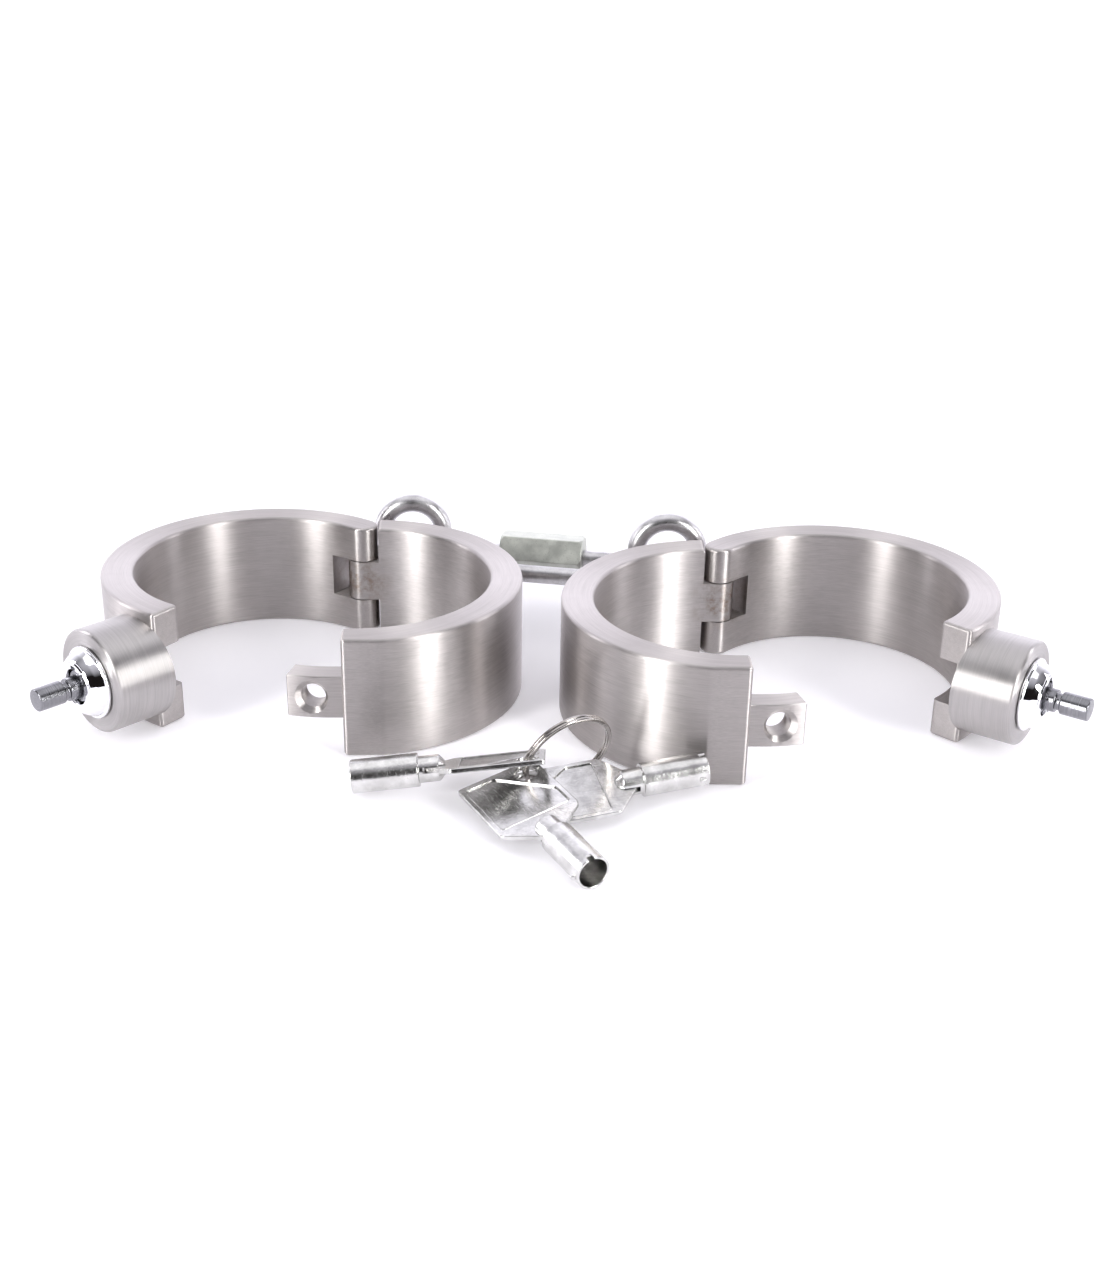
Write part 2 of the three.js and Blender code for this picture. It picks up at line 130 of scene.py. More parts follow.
KEY = dict(tube_r=3.85, bore_r=3.25, tube=15.2, stub_r=3.05, stub=6.0, plate=1.2)
KEY_BORE_FLOOR = 2.0  # the bore ends this far before the end of the tube
KEY_NOTCH = dict(half=0.7, depth=1.6)
KEY_NIB = dict(half=0.6, low=1.2, high=2.4, sunk=0.2, out=0.7)
STUB_END = dict(inward=1.5, back=1.4)
KEY_ROUND = 0.28
MOUTH_DEPTH = 1.2  # the centre of a key's mouth opening lies this far inside the tube
BOW = dict(neck=16.5, start=22.6, end=43.7, half=9.7, hole=(39.6, -5.6), hole_r=2.8, recess=0.25)
BOW_NECK = dict(half=2.4, flare=2.1, flare_half=4.6)
PANEL_EDGE = dict(side=1.2, near=1.7, far=1.5, corner=8.0)
BORDER = dict(wire=0.17, sunk=0.05)

RING = dict(r=10.6, thick=1.1, turn_width=0.82, gap=0.015, turns=1.93, steps=220, crossing=0.07, start=2.2)
RING_NORMAL = Vector((-0.434, 0.7, 0.291)).normalized()

UP = Vector((0, 0, 1))
RIGHT_ANGLE = math.pi / 2
RADIAL_STEPS = 96


# ---------------------------------------------------------------- frames, from the record and the CAD
def joint(name):
    return next(entry for entry in frame["joints"] if entry["name"] == name)


def opening_centre(name):
    opening = next(entry for entry in frame["record"]["physics"]["openings"] if entry["name"] == name)
    low, high = opening["box_m"]
    return (Vector(low) + Vector(high)) / 2


def basis(x, y, z, origin):
    matrix = Matrix((x, y, z)).transposed().to_4x4()
    matrix.translation = origin
    return matrix


def turned_about_up(vector, angle):
    return Matrix.Rotation(angle, 3, "Z") @ vector


def cuff_frame(v_axis, origin):
    return basis(turned_about_up(v_axis, -RIGHT_ANGLE), v_axis, UP, origin)


def frames_of(side):
    """Frames of the fixed half, the swing half and the lock of one cuff, and its mirror sign."""
    mirror = 1 if side == "left" else -1
    hinge = Vector(joint(f"{side}_hinge")["pos_m"])
    hinge.z = 0
    centre = opening_centre(f"{side}_wrist_opening")
    centre.z = 0
    fixed = cuff_frame((hinge - centre).normalized(), centre)
    outwards = Vector(joint(f"{side}_plunger_press")["axis"]).normalized()
    v_axis = turned_about_up(-outwards, mirror * LOCK_ANGLE)
    swing_centre = hinge - v_axis * BAND_MID_R * MM
    swing = cuff_frame(v_axis, swing_centre)
    lock = basis(UP.cross(outwards), UP, outwards, swing_centre + UP * BAND_HEIGHT / 2 * MM)
    return fixed, swing, lock, mirror


def key_frame(name):
    """The key's own frame: +x from its mouth to its bow, +z square to the bow."""
    swivel = joint(f"key_{name}_swivel")
    hole = Vector(swivel["pos_m"])
    normal = Vector(swivel["axis"]).normalized()
    mouth = opening_centre(f"key_{name}_mouth")
    along, across = BOW["hole"][0] - MOUTH_DEPTH, BOW["hole"][1]
    towards_hole = (hole - mouth).normalized()
    x_axis = Matrix.Rotation(-math.atan2(across, along), 3, normal) @ towards_hole
    x_axis = (x_axis - normal * x_axis.dot(normal)).normalized()
    return basis(x_axis, normal.cross(x_axis), normal, mouth - x_axis * MOUTH_DEPTH * MM)


# ---------------------------------------------------------------- mesh helpers, millimetres
def mesh_of(points, faces):
    bm = bmesh.new()
    vertices = [bm.verts.new(point) for point in points]
    for face in faces:
        bm.faces.new([vertices[i] for i in face])
    return bm


def arc(radius, start, end, steps, centre=(0.0, 0.0)):
    """Points on a circle from one angle to another, both ends included."""
    return [(centre[0] + radius * math.cos(start + (end - start) * i / steps),
             centre[1] + radius * math.sin(start + (end - start) * i / steps)) for i in range(steps + 1)]


def rounded(points, radius, steps=4, open_ends=False):
    """Replaces the corners of a 2D outline with short curves."""
    result = []
    count = len(points)
    for i, point in enumerate(points):
        if open_ends and i in (0, count - 1):
            result.append(point)
            continue
        corner, before, after = Vector(point), Vector(points[i - 1]), Vector(points[(i + 1) % count])
        to_before, to_after = before - corner, after - corner
        reach = min(radius, to_before.length * CORNER_SHARE, to_after.length * CORNER_SHARE)
        if to_before.angle(to_after) > NEARLY_STRAIGHT or reach < NEARLY:
            result.append(point)
            continue
        start = corner + to_before.normalized() * reach
        end = corner + to_after.normalized() * reach
        for step in range(steps + 1):
            t = step / steps
            bend = start * (1 - t) ** 2 + corner * 2 * t * (1 - t) + end * t ** 2
            result.append(tuple(bend))
    return result


def extruded(outline, low, high):
    count = len(outline)
    points = [(x, y, low) for x, y in outline] + [(x, y, high) for x, y in outline]
    faces = [tuple(reversed(range(count))), tuple(range(count, 2 * count))]
    faces += [(i, (i + 1) % count, (i + 1) % count + count, i + count) for i in range(count)]
    bm = mesh_of(points, faces)
    bmesh.ops.recalc_face_normals(bm, faces=bm.faces)
    return bm


def block(low, high):
    (x0, y0, z0), (x1, y1, z1) = low, high
    return extruded([(x0, y0), (x1, y0), (x1, y1), (x0, y1)], z0, z1)


def turned(section, steps=RADIAL_STEPS):
    """Solid of revolution about +z from (radius, z) points; the section closes on itself or on the axis."""
    points, rings = [], []
    for radius, z in section:
        if radius < NEARLY:
            rings.append([len(points)])
            points.append((0, 0, z))
            continue
        rings.append(list(range(len(points), len(points) + steps)))
        points += [(radius * math.cos(2 * math.pi * i / steps), radius * math.sin(2 * math.pi * i / steps), z)
                   for i in range(steps)]
    faces = []
    closed = section[0][0] > NEARLY
    for k in range(len(rings) - (0 if closed else 1)):
        a, b = rings[k], rings[(k + 1) % len(rings)]
        for i in range(steps):
            quad = [a[i % len(a)], a[(i + 1) % len(a)], b[(i + 1) % len(b)], b[i % len(b)]]
            quad = list(dict.fromkeys(quad))
            if len(quad) > 2:
                faces.append(quad)
    bm = mesh_of(points, faces)
    bmesh.ops.recalc_face_normals(bm, faces=bm.faces)
    return bm


def tube(path, section, closed=False):
    """Sweeps a 2D section along 3D points, without twist."""
    path = [Vector(point) for point in path]
    count, sides = len(path), len(section)
    tangents = []
    for i in range(count):
        before = path[i - 1] if closed or i else path[0]
        after = path[(i + 1) % count] if closed or i + 1 < count else path[-1]
        tangents.append((after - before).normalized())
    normal = tangents[0].orthogonal().normalized()
    normals = [normal]
    for i in range(1, count):
        normal = (normal - tangents[i] * normal.dot(tangents[i])).normalized()
        normals.append(normal)
    points = []
    for centre, tangent, out in zip(path, tangents, normals):
        side = tangent.cross(out)
        points += [tuple(centre + out * a + side * b) for a, b in section]
    faces = []
    for i in range(count if closed else count - 1):
        for j in range(sides):
            k = (i + 1) % count
            m = (j + 1) % sides
            faces.append((i * sides + j, i * sides + m, k * sides + m, k * sides + j))
    if not closed:
        faces.append(tuple(reversed(range(sides))))
        faces.append(tuple(range((count - 1) * sides, count * sides)))
    bm = mesh_of(points, faces)
    bmesh.ops.recalc_face_normals(bm, faces=bm.faces)
    return bm


def circle(radius, sides):
    return arc(radius, 0, 2 * math.pi, sides)[:-1]


def moved(bm, matrix):
    bm.transform(matrix)
    return bm


def temporary(bm):
    mesh = bpy.data.meshes.new("temporary")
    bm.to_mesh(mesh)
    bm.free()
    obj = bpy.data.objects.new("temporary", mesh)
    bpy.context.scene.collection.objects.link(obj)
    return obj


def boolean(bm, operation, *tools):
    """Combines a mesh with each tool in turn, using the tools up."""
    for tool in tools:
        base, cutter = temporary(bm), temporary(tool)
        modifier = base.modifiers.new("boolean", "BOOLEAN")
        modifier.object, modifier.operation, modifier.solver = cutter, operation, "EXACT"
        bpy.context.view_layer.update()
        result = bpy.data.meshes.new_from_object(base.evaluated_get(bpy.context.evaluated_depsgraph_get()))
        bm = bmesh.new()
        bm.from_mesh(result)
        for obj in (base, cutter):
            mesh = obj.data
            bpy.data.objects.remove(obj)
            bpy.data.meshes.remove(mesh)
        bpy.data.meshes.remove(result)
        bmesh.ops.remove_doubles(bm, verts=bm.verts, dist=NEARLY)
    return bm


def cut(bm, *tools):
    return boolean(bm, "DIFFERENCE", *tools)


def joined(bm, *tools):
    return boolean(bm, "UNION", *tools)


def bevelled(bm, edges, width, segments):
    bmesh.ops.bevel(bm, geom=edges, offset=width, offset_type="OFFSET", segments=segments,
                    profile=0.5, affect="EDGES", clamp_overlap=True)
    return bm


def add_to(bm, other):
    """Puts a loose mesh beside what is already in bm, without a boolean."""
    mesh = bpy.data.meshes.new("temporary")
    other.to_mesh(mesh)
    other.free()
    bm.from_mesh(mesh)
    bpy.data.meshes.remove(mesh)


def pillar(radius, low, high, steps=48, top_radius=None):
    """Cylinder or cone about +z."""
    top_radius = radius if top_radius is None else top_radius
    return turned([(0, low), (radius, low), (top_radius, high), (0, high)], steps)


def round_rims(bm, low, high, width, segments=5):
    """Rounds the edges that run round the flat bottom and top of an extruded shape."""
    edges = [edge for edge in bm.edges
             if all(abs(vertex.co.z - low) < NEARLY for vertex in edge.verts)
             or all(abs(vertex.co.z - high) < NEARLY for vertex in edge.verts)]
    return bevelled(bm, edges, width, segments)


def round_sharp(bm, width=EDGE_ROUND, segments=2, angle=SHARP):
    edges = [edge for edge in bm.edges if edge.is_manifold and edge.calc_face_angle(0) > angle]
    return bevelled(bm, edges, width, segments)


def piece(name, bm, matrix, body, material, nodes=(), mirror=1, smooth=math.radians(32)):
    """Makes the final object: metres, in the shared frame, riding on a CAD body."""
    if mirror < 0:
        bmesh.ops.scale(bm, vec=(-1, 1, 1), verts=bm.verts)
        bmesh.ops.reverse_faces(bm, faces=bm.faces)
    bmesh.ops.scale(bm, vec=(MM, MM, MM), verts=bm.verts)
    mesh = bpy.data.meshes.new(name)
    bm.to_mesh(mesh)
    bm.free()
    mesh.polygons.foreach_set("use_smooth", [True] * len(mesh.polygons))
    mesh.set_sharp_from_angle(angle=smooth)
    mesh.materials.append(material)
    obj = bpy.data.objects.new(name, mesh)
    bpy.context.scene.collection.objects.link(obj)
    obj.matrix_world = matrix
    weighted = obj.modifiers.new("weighted_normals", "WEIGHTED_NORMAL")
    weighted.keep_sharp = True
    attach(obj, body)
    if nodes:
        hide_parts(*nodes)
    return obj


# ---------------------------------------------------------------- materials
class Graph:
    """Shorthand for building a node tree."""

    def __init__(self, tree):
        self.tree = tree

    def node(self, kind, inputs=None, **settings):
        node = self.tree.nodes.new(kind)
        for key, value in settings.items():
            setattr(node, key, value)
        for key, value in (inputs or {}).items():
            if isinstance(value, bpy.types.NodeSocket):
                self.tree.links.new(value, node.inputs[key])
            else:
                node.inputs[key].default_value = value
        return node

    def math(self, operation, *values):
        return self.node("ShaderNodeMath", dict(enumerate(values)), operation=operation).outputs[0]

    def mapped(self, value, low, high, to_low, to_high):
        inputs = {"Value": value, "From Min": low, "From Max": high, "To Min": to_low, "To Max": to_high}
        return self.node("ShaderNodeMapRange", inputs).outputs[0]

    def noise(self, vector, scale, detail=2.0, roughness=0.5):
        inputs = {"Vector": vector, "Scale": scale, "Detail": detail, "Roughness": roughness}
        return self.node("ShaderNodeTexNoise", inputs).outputs["Fac"]

    def mix(self, factor, first, second):
        node = self.node("ShaderNodeMix", data_type="RGBA")
        for socket, value in ((node.inputs[0], factor), (node.inputs[6], first), (node.inputs[7], second)):
            if isinstance(value, bpy.types.NodeSocket):
                self.tree.links.new(value, socket)
            else:
                socket.default_value = value
        return node.outputs[2]


def tone(red, green, blue):
    return (red, green, blue, 1.0)


def new_material(name):
    material = bpy.data.materials.new(name)
    material.use_nodes = True
    graph = Graph(material.node_tree)
    shader = next(n for n in material.node_tree.nodes if n.type == "BSDF_PRINCIPLED")
    shader.inputs["Metallic"].default_value = 1.0
    return material, graph, shader


FINE_STREAKS, BROAD_STREAKS = 5200.0, 1100.0  # noise cells per metre across the brushing
STREAK_LENGTH = 70.0  # noise cells per metre along it
SOOT = tone(0.16, 0.14, 0.13)


def brushed(name, dark, light, roughness, grain=1.0, anisotropic=0.6, stain=None, stain_at=None,
            stain_reach=0.009):
    """Metal brushed or turned round the z axis of its own frame, with a stain at one place."""
    material, g, shader = new_material(name)
    coords = g.node("ShaderNodeTexCoord").outputs["Object"]
    xyz = g.node("ShaderNodeSeparateXYZ", {0: coords})
    x, y, z = xyz.outputs[0], xyz.outputs[1], xyz.outputs[2]
    radius = g.math("SQRT", g.math("ADD", g.math("MULTIPLY", x, x), g.math("MULTIPLY", y, y)))

    def streaks(pace, detail, roughness_of_noise):
        across = g.math("MULTIPLY_ADD", radius, pace, g.math("MULTIPLY", x, STREAK_LENGTH))
        vector = g.node("ShaderNodeCombineXYZ", {0: across, 1: g.math("MULTIPLY", y, STREAK_LENGTH),
                                                 2: g.math("MULTIPLY", z, pace)}).outputs[0]
        return g.noise(vector, 1.0, detail, roughness_of_noise)

    fine = streaks(FINE_STREAKS / grain, 2.0, 0.6)
    broad = streaks(BROAD_STREAKS / grain, 3.0, 0.65)
    blotch = g.noise(coords, 75.0, 3.0, 0.6)
    height = g.math("ADD", g.math("MULTIPLY", fine, 0.65), g.math("MULTIPLY", broad, 0.35))
    grey = g.math("ADD", g.math("MULTIPLY", height, 0.65), g.math("MULTIPLY", blotch, 0.35))
    colour = g.mix(g.mapped(grey, 0.32, 0.68, 0.0, 1.0), dark, light)
    if stain:
        offset = g.node("ShaderNodeVectorMath", {0: coords, 1: stain_at}, operation="DISTANCE")
        near = g.mapped(offset.outputs["Value"], stain_reach * 0.35, stain_reach, 1.0, 0.0)
        patchy = g.mapped(g.noise(coords, 420.0, 4.0, 0.7), 0.42, 0.66, 0.0, 0.8)
        colour = g.mix(g.math("MULTIPLY", near, patchy), colour, stain)
    g.tree.links.new(colour, shader.inputs["Base Color"])
    rough = g.mapped(g.math("ADD", g.math("MULTIPLY", height, 0.6), g.math("MULTIPLY", blotch, 0.4)),
                     0.3, 0.7, roughness - 0.07, roughness + 0.09)
    g.tree.links.new(rough, shader.inputs["Roughness"])
    relief = g.node("ShaderNodeBump", {"Height": height, "Strength": 0.35, "Distance": 0.00006})
    g.tree.links.new(relief.outputs[0], shader.inputs["Normal"])
    round_z = g.node("ShaderNodeCombineXYZ", {0: g.math("MULTIPLY", y, -1.0), 1: x, 2: 0.0}).outputs[0]
    tangent = g.node("ShaderNodeVectorTransform", {0: round_z}, vector_type="VECTOR",
                     convert_from="OBJECT", convert_to="WORLD").outputs[0]
    shader.inputs["Anisotropic"].default_value = anisotropic
    shader.inputs["Anisotropic Rotation"].default_value = 0.25
    g.tree.links.new(tangent, shader.inputs["Tangent"])
    return material


def polished(name, dark, light, roughness, spread=0.04, grain=900.0, bump=0.15, speckle=0.0):
    """Plated or polished metal with faint wear, smudges and an uneven surface."""
    material, g, shader = new_material(name)
    coords = g.node("ShaderNodeTexCoord").outputs["Object"]
    smudge = g.noise(coords, 260.0, 4.0, 0.6)
    peel = g.noise(coords, grain, 2.0, 0.55)
    scratch_at = g.node("ShaderNodeMapping", {"Vector": coords, "Rotation": (0.4, 0.7, 0.5),
                                              "Scale": (350.0, 9000.0, 9000.0)}).outputs[0]
    scratch = g.mapped(g.noise(scratch_at, 1.0, 1.0, 0.5), 0.66, 0.74, 0.0, 1.0)
    colour = g.mix(g.mapped(smudge, 0.34, 0.66, 0.0, 1.0), dark, light)
    if speckle:
        spots = g.mapped(g.noise(coords, 2600.0, 2.0, 0.6), 0.60, 0.72, 0.0, speckle)
        colour = g.mix(spots, colour, SOOT)
    g.tree.links.new(colour, shader.inputs["Base Color"])
    rough = g.math("ADD", g.mapped(smudge, 0.3, 0.7, roughness, roughness + spread),
                   g.math("MULTIPLY", scratch, spread))
    g.tree.links.new(rough, shader.inputs["Roughness"])
    height = g.math("ADD", peel, g.math("MULTIPLY", scratch, -0.15))
    relief = g.node("ShaderNodeBump", {"Height": height, "Strength": bump, "Distance": 0.0001})
    g.tree.links.new(relief.outputs[0], shader.inputs["Normal"])
    return material


BROWN = tone(0.24, 0.17, 0.12)
HINGE_AT = (0.0, BAND_MID_R * MM, BAND_HEIGHT / 2 * MM)
steel = brushed("brushed_steel", tone(0.38, 0.355, 0.345), tone(0.58, 0.55, 0.54), roughness=0.44,
                anisotropic=0.88, stain=BROWN, stain_at=HINGE_AT, stain_reach=0.010)
housing_steel = brushed("housing_steel", tone(0.36, 0.345, 0.34), tone(0.52, 0.50, 0.495),
                        roughness=0.40, grain=1.2, anisotropic=0.85)
plunger_steel = brushed("plunger_steel", tone(0.14, 0.14, 0.15), tone(0.32, 0.32, 0.34),
                        roughness=0.24, grain=0.8, anisotropic=0.5)
brass = brushed("lock_brass", tone(0.36, 0.26, 0.12), tone(0.58, 0.45, 0.22), roughness=0.32)
chrome = polished("bezel_chrome", tone(0.80, 0.80, 0.82), tone(0.90, 0.90, 0.92),
                  roughness=0.035, spread=0.03, grain=500.0, bump=0.02)
spring_steel = polished("spring_steel", tone(0.34, 0.34, 0.36), tone(0.52, 0.52, 0.54), roughness=0.22)
bar_steel = polished("bar_steel", tone(0.46, 0.45, 0.46), tone(0.66, 0.65, 0.66),
                     roughness=0.27, spread=0.12, grain=1400.0, bump=0.22, speckle=0.35)
nut_steel = polished("nut_steel", tone(0.46, 0.475, 0.43), tone(0.60, 0.615, 0.56),
                     roughness=0.36, spread=0.12, grain=1800.0, bump=0.25, speckle=0.3)
nickel = polished("key_nickel", tone(0.52, 0.515, 0.505), tone(0.74, 0.735, 0.725),
                  roughness=0.19, spread=0.09, grain=1500.0, bump=0.30, speckle=0.12)
ring_nickel = polished("ring_nickel", tone(0.30, 0.28, 0.265), tone(0.50, 0.475, 0.455),
                       roughness=0.12, spread=0.06, grain=700.0, bump=0.10)
weld = polished("weld_steel", tone(0.30, 0.25, 0.22), tone(0.56, 0.53, 0.51),
                roughness=0.34, spread=0.14, grain=1500.0, bump=0.7, speckle=0.5)


# ---------------------------------------------------------------- cuff halves
def middle(height):
    return (BAND_HEIGHT - height) / 2, (BAND_HEIGHT + height) / 2


LOCK_OUT = Vector((-math.sin(LOCK_ANGLE), -math.cos(LOCK_ANGLE), 0))
LOCK_TURN = basis(UP.cross(LOCK_OUT), UP, LOCK_OUT, UP * BAND_HEIGHT / 2)


def along_lock(bm):
    """Turns a shape about +z so that it points outwards along the lock axis of a left-hand cuff."""
    return moved(bm, LOCK_TURN)


def hinge_bore(top):
    return moved(pillar(PIN_BORE_R, -CLEAR, top), Matrix.Translation((0, BAND_MID_R, 0)))


def fixed_half():
    """Curved band with the hinge's middle knuckle at one end and the perforated tongue at the other."""
    def shoulder(radius):
        return math.acos((SHOULDER - OVAL) / radius)

    centre = (OVAL, 0)
    front = -math.asin(FRONT_FLAT / BAND_OUTER_R)
    outline = arc(BAND_OUTER_R, front, shoulder(BAND_OUTER_R), FIXED_STEPS, centre)
    outline += arc(BAND_INNER_R, shoulder(BAND_INNER_R), -RIGHT_ANGLE, FIXED_STEPS, centre)[:-1]
    end = [(OVAL, -BAND_INNER_R), (SPLIT_GAP, -BAND_INNER_R), (SPLIT_GAP, -FRONT_FLAT), outline[0]]
    outline += rounded(end, END_ROUND, open_ends=True)[:-1]
    band = round_rims(extruded(outline, 0, BAND_HEIGHT), 0, BAND_HEIGHT, RIM_ROUND)
    low, high = middle(KNUCKLE_HEIGHT)
    knuckle = arc(BAND_OUTER_R, RIGHT_ANGLE - KNUCKLE_ROOT, RIGHT_ANGLE, 8, centre)
    knuckle += arc(HINGE_R, RIGHT_ANGLE, 3 * RIGHT_ANGLE, 32, (0, BAND_MID_R))
    knuckle += arc(BAND_INNER_R, RIGHT_ANGLE, RIGHT_ANGLE - KNUCKLE_ROOT, 8, centre)
    tongue = [(TONGUE_ROOT, -TONGUE_OUTER_R)]
    tongue += arc(TONGUE_OUTER_R, -RIGHT_ANGLE, -RIGHT_ANGLE - TONGUE_END, 24, (-OVAL, 0))
    tongue += arc(TONGUE_INNER_R, -RIGHT_ANGLE - TONGUE_END, -RIGHT_ANGLE, 24, (-OVAL, 0))
    tongue.append((TONGUE_ROOT, -TONGUE_INNER_R))
    tongue_solid = round_sharp(extruded(tongue, low, high), TONGUE_ROUND, 4)
    body = joined(band, extruded(knuckle, low, high), tongue_solid)
    inner_sink, outer_sink = TONGUE_SINK_R
    countersink = pillar(inner_sink, TONGUE_OUTER_R - TONGUE_SINK_DEPTH, TONGUE_OUTER_R + CLEAR,
                         top_radius=outer_sink)
    body = cut(body, hinge_bore(BAND_HEIGHT + CLEAR), along_lock(pillar(TONGUE_HOLE_R, *TONGUE_HOLE_CUT)),
               along_lock(countersink))
    return round_sharp(body)


def swing_half():
    """Curved band slotted for the middle knuckle at one end and for the tongue at the other."""
    centre = (-OVAL, 0)
    outline = arc(BAND_OUTER_R, -RIGHT_ANGLE, -3 * RIGHT_ANGLE, SWING_STEPS, centre)
    outline += arc(HINGE_R, RIGHT_ANGLE, -RIGHT_ANGLE, 32, (0, BAND_MID_R))
    outline += arc(BAND_INNER_R, -3 * RIGHT_ANGLE, -RIGHT_ANGLE, SWING_STEPS, centre)[:-1]
    end = [(-OVAL, -BAND_INNER_R), (-SPLIT_GAP, -BAND_INNER_R), (-SPLIT_GAP, -BAND_OUTER_R), outline[0]]
    outline += rounded(end, END_ROUND, open_ends=True)[:-1]
    band = round_rims(extruded(outline, 0, BAND_HEIGHT), 0, BAND_HEIGHT, RIM_ROUND)
    low, high = middle(HINGE_SLOT)
    near, far = BAND_INNER_R - 3 * CLEAR, BAND_OUTER_R + 5 * CLEAR

    def slot_end(radius):
        return -OVAL - math.sin(TONGUE_SLOT_END) * radius, -math.cos(TONGUE_SLOT_END) * radius

    tongue_slot = [(CLEAR, -near), slot_end(near), slot_end(far), (CLEAR, -far)]
    knuckle_slot = block((-HINGE_SLOT_DEPTH, BAND_INNER_R - 4 * CLEAR, low),
                         (HINGE_R + CLEAR, BAND_OUTER_R + 2 * CLEAR, high))
    band = cut(band, knuckle_slot, extruded(tongue_slot, low, high), hinge_bore(PIN_BORE_TOP))
    return round_sharp(band)


def oval(half_width, top, bottom, steps=28):
    """Upright oval in the plane y = 0."""
    upper = arc(half_width, 0, math.pi, steps, (0, top))
    lower = arc(half_width, math.pi, 2 * math.pi, steps, (0, bottom))
    return [(x, 0, z) for x, z in upper + lower]


def anchor_feet():
    """Where the two feet leave the loop, as shifts along u and heights: beside it and below it."""
    half, foot = ANCHOR["half_width"], ANCHOR_FOOT
    return (-half + foot["inset"], foot["side_z"]), (foot["low_shift"], ANCHOR["bottom"] - half)


def anchor_loop():
    """Oval loop of round bar with two feet, coped to the outside of the fixed half."""
    u, v, half, rod = ANCHOR["u"], ANCHOR["v"], ANCHOR["half_width"], ANCHOR["rod"]
    loop = moved(tube(oval(half, ANCHOR["top"], ANCHOR["bottom"]), circle(rod, 24), True),
                 Matrix.Translation((u, v, 0)))
    towards_band = Matrix.Rotation(RIGHT_ANGLE, 4, "X")
    feet = []
    for du, z in anchor_feet():
        foot = pillar(rod - ANCHOR_FOOT["thinner"], 0, ANCHOR_FOOT["length"], 24)
        feet.append(moved(foot, Matrix.Translation((u + du, v, z)) @ towards_band))
    body = joined(loop, *feet)
    band = moved(pillar(BAND_OUTER_R - OVERLAP, -CLEAR, BAND_HEIGHT + CLEAR, 180),
                 Matrix.Translation((OVAL, 0, 0)))
    opened_half = block((-CLEAR, BAND_OUTER_R - 3 * CLEAR, 0),
                        (ANCHOR_HINGE_SIDE, BAND_OUTER_R + 3 * CLEAR, BAND_HEIGHT))
    return cut(body, band, opened_half)


def anchor_welds():
    """Rough collars where the feet of the anchor loop meet the band, left open beside the hinge."""
    welds = bmesh.new()
    for (du, z), sweep in zip(anchor_feet(), (WELD["side_sweep"], WELD["low_sweep"])):
        path = []
        for i in range(WELD["steps"] + 1):
            angle = math.radians(sweep) * (i / (WELD["steps"] / 2) - 1)
            ripple = WELD["ripple"] * math.sin(WELD["ripples"] * angle)
            reach = ANCHOR["rod"] + WELD["gap"] + ripple
            x = ANCHOR["u"] + du + reach * math.cos(angle)
            y = math.sqrt(BAND_OUTER_R ** 2 - (x - OVAL) ** 2) + WELD["gap"]
            path.append((x, y, z + reach * math.sin(angle)))
        add_to(welds, tube(path, circle(WELD["rod"], 12)))
    return welds


# ---------------------------------------------------------------- push lock
def lock_housing():
    """Made about +z in a left-hand cuff's lock frame, and coped to the outside of the swing half."""
    hole = PLUNGER_R + PLAY
    section = [(hole, HOUSING_BACK), (HOUSING_R, HOUSING_BACK), (HOUSING_R, HOUSING_FACE),
               (HOUSING_BORE_R, HOUSING_FACE), (HOUSING_BORE_R, HOUSING_FLOOR), (hole, HOUSING_FLOOR)]
    barrel = turned(rounded(section, HOUSING_ROUND, 5), 144)
    reach = BAND_OUTER_R - OVERLAP
    band_space = moved(pillar(reach, -CLEAR, BAND_HEIGHT + CLEAR, 200), Matrix.Translation((-OVAL, 0, 0)))
    split_space = block((-OVAL, -reach, -CLEAR), (HOUSING_R + 2 * CLEAR, 0, BAND_HEIGHT + CLEAR))
    return cut(barrel, *(moved(space, LOCK_TURN.inverted()) for space in (band_space, split_space)))


def lock_bezel():
    """Sleeve in the housing's bore, flange on its face, and a stepped dome up to the keyway."""
    sleeve, flange = HOUSING_BORE_R - PLAY, HOUSING_FACE + PLAY
    inside, rim = sleeve - BEZEL["wall"], BEZEL["flange_r"]
    dome = [(8.25, flange + 0.8), (8.15, flange + 1.15), (7.55, BEZEL_LIP - 1.75),
            (6.55, BEZEL_LIP - 0.35), (6.2, BEZEL_LIP - 0.3), (5.9, BEZEL_LIP)]
    keyway = [(KEYWAY_R + 0.25, BEZEL_LIP), (KEYWAY_R, BEZEL_LIP - 0.4), (KEYWAY_R, BEZEL["throat"])]
    section = [(inside, BEZEL["low"]), (sleeve, BEZEL["low"]), (sleeve, flange), (rim, flange),
               (rim, flange + BEZEL["flange"]), *dome, *keyway, (inside, BEZEL["throat"])]
    body = turned(rounded(section, BEZEL["round"], 4), 144)
    half = KEYWAY_NOTCH["half"]
    notch = block((-half, KEYWAY_R - CLEAR, BEZEL_LIP - KEYWAY_NOTCH["depth"]),
                  (half, KEYWAY_R + KEYWAY_NOTCH["out"], BEZEL_LIP + CLEAR))
    return cut(body, notch)


def plunger():
    """Round bar with a collar behind the bezel and a groove near its tip."""
    groove, waist = PLUNGER_TIP - GROOVE["from_tip"], PLUNGER_R - GROOVE["depth"]
    groove_low, groove_high = groove - GROOVE["half"], groove + GROOVE["half"]
    section = [(0, PLUNGER_INNER), (PLUNGER_R, PLUNGER_INNER), (PLUNGER_R, COLLAR[0]),
               (COLLAR_R, COLLAR[0]), (COLLAR_R, COLLAR[1]), (PLUNGER_R, COLLAR[1]),
               (PLUNGER_R, groove_low), (waist, groove_low), (waist, groove_high), (PLUNGER_R, groove_high),
               (PLUNGER_R, PLUNGER_TIP), (0, PLUNGER_TIP)]
    return turned(rounded(section, PLUNGER_ROUND, 4, open_ends=True), 72)


